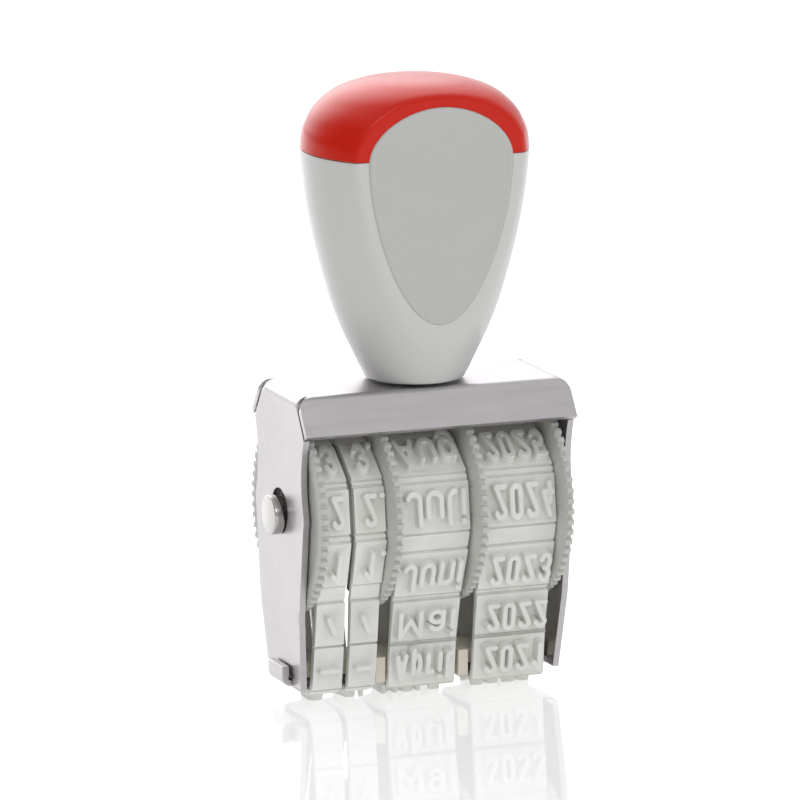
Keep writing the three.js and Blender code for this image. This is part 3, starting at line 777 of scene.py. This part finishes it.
def band_loop(name, x0, x1, blocks):
    """The endless band with its type blocks, as one closed ring of rubber."""
    path = rounded_path(band_corners(), True, 6)
    points = [(p, n, WEB_T) for p, n in path if not any(near_block(p, b) for b in blocks)]
    for centre, heading, normal, length, _ in blocks:
        for side in (-1, 1):
            for beyond, level in BLOCK_EDGE:
                points.append((centre + heading * side * (length / 2 + beyond), normal, level))
    points.sort(key=lambda q: travelled(path, q[0]))
    n = len(points)
    inner = [p for p, _, _ in points]
    outer = [p + m * t for p, m, t in points]
    verts = [(x, p.x, p.y) for x in (x0, x1) for ring in (inner, outer) for p in ring]
    faces = []
    for i in range(n):
        j = (i + 1) % n
        faces += [(i, j, n + j, n + i), (2 * n + j, 2 * n + i, 3 * n + i, 3 * n + j),
                  (n + i, n + j, 3 * n + j, 3 * n + i), (j, i, 2 * n + i, 2 * n + j)]
    obj = outward(mesh_object(name, verts, faces))
    return rounded(obj, 0.07, 2, 30)


def place_glyph(parts, char, w, x, station):
    """Adds a character to the list of solids: its cell starts at x and is centred on the block."""
    centre, heading, normal, _, tall = station
    verts, faces = glyph(char, w)
    lift = WEB_T + BLOCK_T
    base = centre - heading * (TYPE_H * tall / 2)
    start = sum(len(v) for v, _ in parts)
    placed = []
    for gx, gy, gz in verts:
        p = base + heading * gy * tall + normal * (lift + gz)
        placed.append((x + gx, p.x, p.y))
    parts.append((placed, [tuple(start + i for i in reversed(f)) for f in faces]))


def set_text(parts, text, station, left, right):
    """Sets a word between two places along X, its letters widened to fill them."""
    widths = [LETTER_W[c] for c in text]
    spare = right - left - (LINE_W + LETTER_GAP) * len(text) + LETTER_GAP
    wider = min(spare / sum(widths), WIDEST)
    gap = LETTER_GAP + (spare - sum(widths) * wider) / len(text)
    x = left + LINE_W / 2 + (gap - LETTER_GAP) / 2
    for char, w in zip(text, widths):
        place_glyph(parts, char, w * wider, x, station)
        x += w * wider + LINE_W + gap


def swayed(obj, wheel):
    """Lets the hanging part of a band spread a little to its sides, more towards its foot."""
    (x0, x1), (left, right) = wheel["band"], wheel["sway"]
    for vertex in obj.data.vertices:
        depth = min(max((SWAY_TOP * MM - vertex.co.z) / (SWAY_RUN * MM), 0.0), 1.0)
        across = (vertex.co.x / MM - x0) / (x1 - x0)
        start = left if vertex.co.y < 0 else min(left, 0.0)
        vertex.co.x += (start + (right - start) * across) * depth * depth * (3 - 2 * depth) * MM


def set_word(parts, name, word, station):
    """Sets what stands on one block: a month, the digits of a year, or a day's digit and point."""
    if name == "month":
        set_text(parts, word, station, *MONTH_SPAN)
    elif name == "year":
        for k, char in enumerate(word):
            middle = YEAR_DIGITS["first"] + YEAR_DIGITS["pitch"] * k
            place_glyph(parts, char, DIGIT_W, middle - DIGIT_W / 2, station)
    else:
        place_glyph(parts, word[0], DIGIT_W, DAY_DIGIT[name] - DIGIT_W / 2, station)
        if word.endswith("."):
            place_glyph(parts, ".", DIGIT_W, DAY_DIGIT[name] + POINT_SHIFT, station)


def make_band(name, wheel, words):
    """A band with its raised type: the words follow one another against the path of the band."""
    blocks = stations(wheel["blocks"])
    obj = band_loop(name + "_type_band", *wheel["band"], blocks)
    parts = []
    for i, station in enumerate(blocks):
        set_word(parts, name, words[-i % len(words)], station)
    verts = [v for part, _ in parts for v in part]
    faces = [f for _, part in parts for f in part]
    boolean(obj, outward(mesh_object("type", verts, faces)), "UNION")
    swayed(obj, wheel)
    return shaded(obj, 40)


# ---------- bridge and saddle ----------
def make_bridge():
    """A strip across the feet of the cheeks, its ends folded up outside them."""
    half_w, bottom, top, bend_r = (BRIDGE[k] for k in ("half_w", "bottom", "top", "bend_r"))
    corners = [(-half_w, top), (-half_w, bottom, bend_r), (half_w, bottom, bend_r), (half_w, top)]
    path = rounded_path(corners, False, 8)
    inner = [p - n * (EAR_T if abs(p.x) > half_w - 0.01 else SHEET) for p, n in path]
    outline = [tuple(p) for p, _ in path] + [tuple(p) for p in inner[::-1]]
    obj = outward(prism("bridge_strip", outline, "y", -BRIDGE["half_d"], BRIDGE["half_d"]))
    return shaded(rounded(obj, 0.22, 3, 40))


def make_saddle():
    """The cream block that the bands run round, with ribs that keep them apart."""
    half_w, half_d, rib_half = SADDLE["half_w"], SADDLE["half_d"], RIB["half_w"]
    obj = block("type_saddle", (-half_w, -half_d, SADDLE["bottom"]), (half_w, half_d, SADDLE["top"]))
    for x in RIB["places"]:
        for side in (-1, 1):
            front, back = sorted((side * RIB["inner"], side * RIB["outer"]))
            low, high = (x - rib_half, front, BRIDGE["bottom"]), (x + rib_half, back, RIB["top"])
            boolean(obj, block("rib", low, high), "UNION")
    return shaded(rounded(obj, 0.14, 2, 40))


# ---------- materials ----------
def set_stops(node, stops):
    """Fills a colour ramp with (position, colour) pairs."""
    elements = node.color_ramp.elements
    while len(elements) < len(stops):
        elements.new(0.5)
    for element, (at, color) in zip(elements, stops):
        element.position = at
        element.color = (*color, 1)


class Looks:
    """A node material that starts from a Principled shader."""

    def __init__(self, name, color, roughness, **constants):
        self.material = bpy.data.materials.new(name)
        self.material.use_nodes = True
        self.tree = self.material.node_tree
        self.shader = self.tree.nodes["Principled BSDF"]
        self.shader.inputs["Base Color"].default_value = (*color, 1)
        self.shader.inputs["Roughness"].default_value = roughness
        for socket, value in constants.items():
            self.shader.inputs[socket.replace("_", " ")].default_value = value

    def node(self, kind, links=None, **settings):
        """Adds a node: settings are its properties or socket values, links feed its sockets."""
        made = self.tree.nodes.new(kind)
        for key, value in settings.items():
            if key in made.bl_rna.properties:
                setattr(made, key, value)
            else:
                made.inputs[key.replace("_", " ")].default_value = value
        for socket, source in (links or {}).items():
            self.tree.links.new(source, made.inputs[socket])
        return made

    def place(self, scale=(1, 1, 1), origin=(0, 0, 0)):
        """Object coordinates, stretched."""
        coords = self.node("ShaderNodeTexCoord")
        mapping = self.node("ShaderNodeMapping", {"Vector": coords.outputs["Object"]},
                            vector_type="TEXTURE", Location=origin, Scale=scale)
        return mapping.outputs["Vector"]

    # noise, ramps and bumps are added as nodes, and each call gives back the output to use
    def noise(self, scale, detail=4, where=None, rough=0.55):
        node = self.node("ShaderNodeTexNoise", {"Vector": where or self.place()},
                         Scale=scale, Detail=detail, Roughness=rough)
        return node.outputs["Fac"]

    def ramp(self, fac, stops):
        node = self.node("ShaderNodeValToRGB", {"Fac": fac})
        set_stops(node, stops)
        return node.outputs["Color"]

    def value_ramp(self, fac, stops):
        return self.ramp(fac, [(at, (v, v, v)) for at, v in stops])

    def mixed(self, fac, a, b, blend="MIX"):
        """Mixes two colours. The colour mode uses sockets 0, 6 and 7, and output 2."""
        node = self.node("ShaderNodeMix", data_type="RGBA", blend_type=blend)
        for index, source in ((0, fac), (6, a), (7, b)):
            if isinstance(source, (tuple, float)):
                node.inputs[index].default_value = source
            else:
                self.tree.links.new(source, node.inputs[index])
        return node.outputs[2]

    def bump(self, height, strength, distance, previous=None):
        """A bump of a depth in millimetres, on top of a previous one."""
        links = {"Height": height}
        if previous:
            links["Normal"] = previous
        node = self.node("ShaderNodeBump", links, Strength=strength, Distance=distance * MM)
        return node.outputs["Normal"]

    def use(self, **sources):
        """Feeds the shader's sockets and gives back the material."""
        for socket, source in sources.items():
            self.tree.links.new(source, self.shader.inputs[socket.replace("_", " ")])
        return self.material

    def edges(self):
        """High on the raised edges of the mesh."""
        return self.node("ShaderNodeNewGeometry").outputs["Pointiness"]


def shade(color, factor):
    """A lighter or darker tone of a colour."""
    return tuple(min(1.0, c * factor) for c in color)


def plastic(name, color, roughness, grain, grain_depth, **constants):
    """Moulded plastic: faint clouding and a fine skin."""
    looks = Looks(name, color, roughness, **constants)
    cloud = looks.noise(60, 3)
    base = looks.ramp(cloud, [(0.3, shade(color, 0.985)), (0.7, shade(color, 1.015))])
    rough = looks.value_ramp(looks.noise(240, 2), [(0.2, roughness * 0.94), (0.8, roughness * 1.06)])
    skin = looks.bump(looks.noise(grain, 4), 0.35, grain_depth)
    waves = looks.bump(looks.noise(130, 2), 0.12, 0.02, skin)
    return looks.use(Base_Color=base, Roughness=rough, Normal=waves)


def steel(name, color, roughness, stretch, **constants):
    """Satin plated sheet: fine grain drawn out one way, faint clouds and pits."""
    looks = Looks(name, color, roughness, Metallic=1.0, **constants)
    drawn = looks.noise(900, 5, looks.place(stretch), 0.65)
    cloud = looks.noise(90, 4)
    pits = looks.noise(4200, 3)
    tone = looks.ramp(cloud, [(0.3, shade(color, 0.95)), (0.7, shade(color, 1.04))])
    lines = looks.value_ramp(drawn, [(0.35, 0.94), (0.65, 1.03)])
    tinted = looks.mixed(1.0, tone, lines, "MULTIPLY")
    rough = looks.value_ramp(drawn, [(0.3, roughness * 0.85), (0.7, roughness * 1.2)])
    normal = looks.bump(drawn, 0.16, 0.02)
    normal = looks.bump(pits, 0.04, 0.01, normal)
    return looks.use(Base_Color=tinted, Roughness=rough, Normal=normal)


def turned_steel(name, color):
    """Bright turned steel: rings on the end faces, a polished side."""
    looks = Looks(name, color, 0.16, Metallic=1.0)
    where = looks.place(origin=(0, 0, AXLE_Z * MM))
    split = looks.node("ShaderNodeSeparateXYZ", {"Vector": where})
    radial = looks.node("ShaderNodeCombineXYZ", {"Y": split.outputs["Y"], "Z": split.outputs["Z"]})
    length = looks.node("ShaderNodeVectorMath", {0: radial.outputs["Vector"]}, operation="LENGTH")
    rings = looks.node("ShaderNodeTexNoise", {"W": length.outputs["Value"]}, noise_dimensions="1D",
                       Scale=9000, Detail=3)
    rough = looks.value_ramp(looks.noise(700, 4), [(0.3, 0.12), (0.75, 0.24)])
    normal = looks.bump(rings.outputs["Fac"], 0.25, 0.012)
    return looks.use(Roughness=rough, Normal=normal)


def rubber(name, color):
    """Moulded type rubber: mottled, slightly waxy, pale on the edges, with fine flow marks."""
    looks = Looks(name, color, 0.58, Subsurface_Weight=0.06, Subsurface_Scale=0.0008)
    mottle = looks.noise(320, 5)
    stain = looks.noise(75, 3)
    base = looks.ramp(mottle, [(0.3, shade(color, 0.94)), (0.7, shade(color, 1.05))])
    warm = looks.value_ramp(stain, [(0.45, 0.0), (0.8, 0.35)])
    warmed = looks.mixed(warm, base, (color[0] * 0.97, color[1] * 0.95, color[2] * 0.86, 1.0))
    edges = looks.value_ramp(looks.edges(), [(0.5, 0.0), (0.62, 0.55)])
    tinted = looks.mixed(edges, warmed, (*shade(color, 1.16), 1.0))
    rough = looks.value_ramp(looks.noise(900, 4), [(0.3, 0.48), (0.75, 0.68)])
    normal = looks.bump(looks.noise(2400, 5), 0.3, 0.03)
    normal = looks.bump(looks.noise(260, 3), 0.4, 0.05, normal)
    return looks.use(Base_Color=tinted, Roughness=rough, Normal=normal)


# ---------- stage ----------
FLOOR_HALF = 2500
FLOOR = {"color": (0.36, 0.36, 0.362), "glow": 0.57}
# the studio: brightness from the dark side (0) to the bright one (1), and the card's fade
BRIGHT_SIDE = (-0.05, 0.86, 0.5)
BRIGHTNESS = [(0.0, 0.58), (0.2, 0.62), (0.45, 0.82), (0.65, 0.8), (0.84, 0.76), (0.92, 1.2), (1.0, 3.2)]
CARD_SIDE = (-1.0, 0.0, 0.0)
CARD_FADE = {"From Min": 0.5, "From Max": 0.85, "To Min": 1.0, "To Max": 0.25}
# the camera's place in metres, its turns in degrees
CAMERA = {"place": (-0.33178, -0.83176, 0.22501), "yaw": 21.63, "pitch": 11.81, "lens": 322.4}


def make_floor():
    """A plain pale floor with a faint gloss, lit from within so that it reads as white."""
    places = (-FLOOR_HALF, 0, FLOOR_HALF)
    floor = mesh_object("floor", [(x, y, 0.0) for x in places for y in places], grid_faces(3, 3))
    floor.data.flip_normals()
    looks = Looks("floor_white", FLOOR["color"], 0.12, IOR=1.5, Emission_Strength=FLOOR["glow"])
    looks.shader.inputs["Emission Color"].default_value = (1, 1, 1, 1)
    rough = looks.value_ramp(looks.noise(14, 3), [(0.3, 0.015), (0.7, 0.04)])
    floor.data.materials.append(looks.use(Roughness=rough))


def make_world():
    """A plain studio: bright behind and above the object, with a dark card on its left."""
    world = bpy.data.worlds.new("studio")
    bpy.context.scene.world = world
    world.use_nodes = True
    tree = world.node_tree
    coords = tree.nodes.new("ShaderNodeTexCoord")

    def towards(side):
        """How far a direction points to a side of the studio, from -1 to 1."""
        dot = tree.nodes.new("ShaderNodeVectorMath")
        dot.operation = "DOT_PRODUCT"
        dot.inputs[1].default_value = Vector(side).normalized()
        tree.links.new(coords.outputs["Generated"], dot.inputs[0])
        return dot.outputs["Value"]

    half = tree.nodes.new("ShaderNodeMath")
    half.operation = "MULTIPLY_ADD"
    half.inputs[1].default_value = 0.5
    half.inputs[2].default_value = 0.5
    tree.links.new(towards(BRIGHT_SIDE), half.inputs[0])
    ramp = tree.nodes.new("ShaderNodeValToRGB")
    set_stops(ramp, [(at, (v, v, v * 1.015)) for at, v in BRIGHTNESS])
    tree.links.new(half.outputs[0], ramp.inputs["Fac"])
    fade = tree.nodes.new("ShaderNodeMapRange")
    for socket, value in CARD_FADE.items():
        fade.inputs[socket].default_value = value
    tree.links.new(towards(CARD_SIDE), fade.inputs["Value"])
    tree.links.new(fade.outputs["Result"], tree.nodes["Background"].inputs["Strength"])
    tree.links.new(ramp.outputs["Color"], tree.nodes["Background"].inputs["Color"])


def soft_light(name, place, aim, size, power):
    """A rectangular lamp that faces a point."""
    light = bpy.data.lights.new(name, "AREA")
    light.shape = "RECTANGLE"
    light.size, light.size_y = size
    light.energy = power
    obj = bpy.data.objects.new(name, light)
    obj.location = place
    obj.rotation_euler = (Vector(aim) - Vector(place)).to_track_quat("-Z", "Y").to_euler()
    bpy.context.scene.collection.objects.link(obj)


def make_camera():
    camera = bpy.data.cameras.new("camera")
    camera.lens = CAMERA["lens"]
    camera.sensor_width = 36
    camera.clip_start, camera.clip_end = 0.05, 20
    obj = bpy.data.objects.new("camera", camera)
    yaw, pitch = math.radians(CAMERA["yaw"]), math.radians(CAMERA["pitch"])
    forward = Vector((math.sin(yaw) * math.cos(pitch), math.cos(yaw) * math.cos(pitch), -math.sin(pitch)))
    obj.location = CAMERA["place"]
    obj.rotation_euler = forward.to_track_quat("-Z", "Y").to_euler()
    bpy.context.scene.collection.objects.link(obj)
    bpy.context.scene.camera = obj


# ---------- the whole object ----------
def build():
    frame_steel = steel("satin_nickel_sheet", (0.55, 0.53, 0.54), 0.32, (12, 1, 1))
    handle_grey = plastic("grey_plastic", (0.64, 0.64, 0.62), 0.3, 1500, 0.012, Coat_Weight=0.25,
                          Coat_Roughness=0.15)
    cap_red = plastic("red_plastic", (0.64, 0.015, 0.004), 0.16, 1500, 0.006, IOR=1.33)
    panel_grey = plastic("panel_plastic", (0.545, 0.55, 0.525), 0.46, 3200, 0.03)
    wheel_grey = plastic("wheel_plastic", (0.6, 0.6, 0.565), 0.45, 2200, 0.02)
    cream = plastic("cream_plastic", (0.72, 0.68, 0.57), 0.5, 1800, 0.02)
    bright = turned_steel("bright_turned_steel", (0.5, 0.49, 0.47))
    type_rubber = rubber("type_rubber", (0.78, 0.785, 0.75))

    finished(make_frame(), BODY, frame_steel, "frame_steel", "frame")
    finished(make_bridge(), BODY, frame_steel, "frame_steel", "bridge")
    finished(make_saddle(), BODY, cream, "saddle_cream", "band_saddle")
    finished(make_handle_body(), BODY, handle_grey, "handle_grey", "handle_body")
    finished(make_handle_cap(), BODY, cap_red, "cap_red", "handle_cap")
    finished(make_panel(-1), BODY, panel_grey, "panel_grey", "front_panel")
    finished(make_panel(1), BODY, panel_grey, "panel_grey", "rear_panel")
    finished(make_axle(), "axle", bright, "bright_steel", "axle")
    words = {"day_tens": DAY_TENS, "day_units": DAY_UNITS, "month": MONTHS, "year": YEARS}
    for name, wheel in WHEELS.items():
        made = make_wheel(name, wheel["rim"], wheel["drum"])
        finished(made, name + "_wheel", wheel_grey, "wheel_plastic", name + "_wheel")
        band = make_band(name, wheel, words[name])
        finished(band, BODY, type_rubber, "type_rubber", name + "_band")
    for node in ("handle_screw", "handle_washer"):
        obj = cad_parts[node]
        obj.data.materials.clear()
        obj.data.materials.append(bright)


build()
make_floor()
make_world()
soft_light("high_key", (-0.1, -0.62, 0.45), (0, 0, 0.03), (0.25, 0.25), 0.5)
make_camera()
bpy.context.scene.view_settings.view_transform = "Standard"
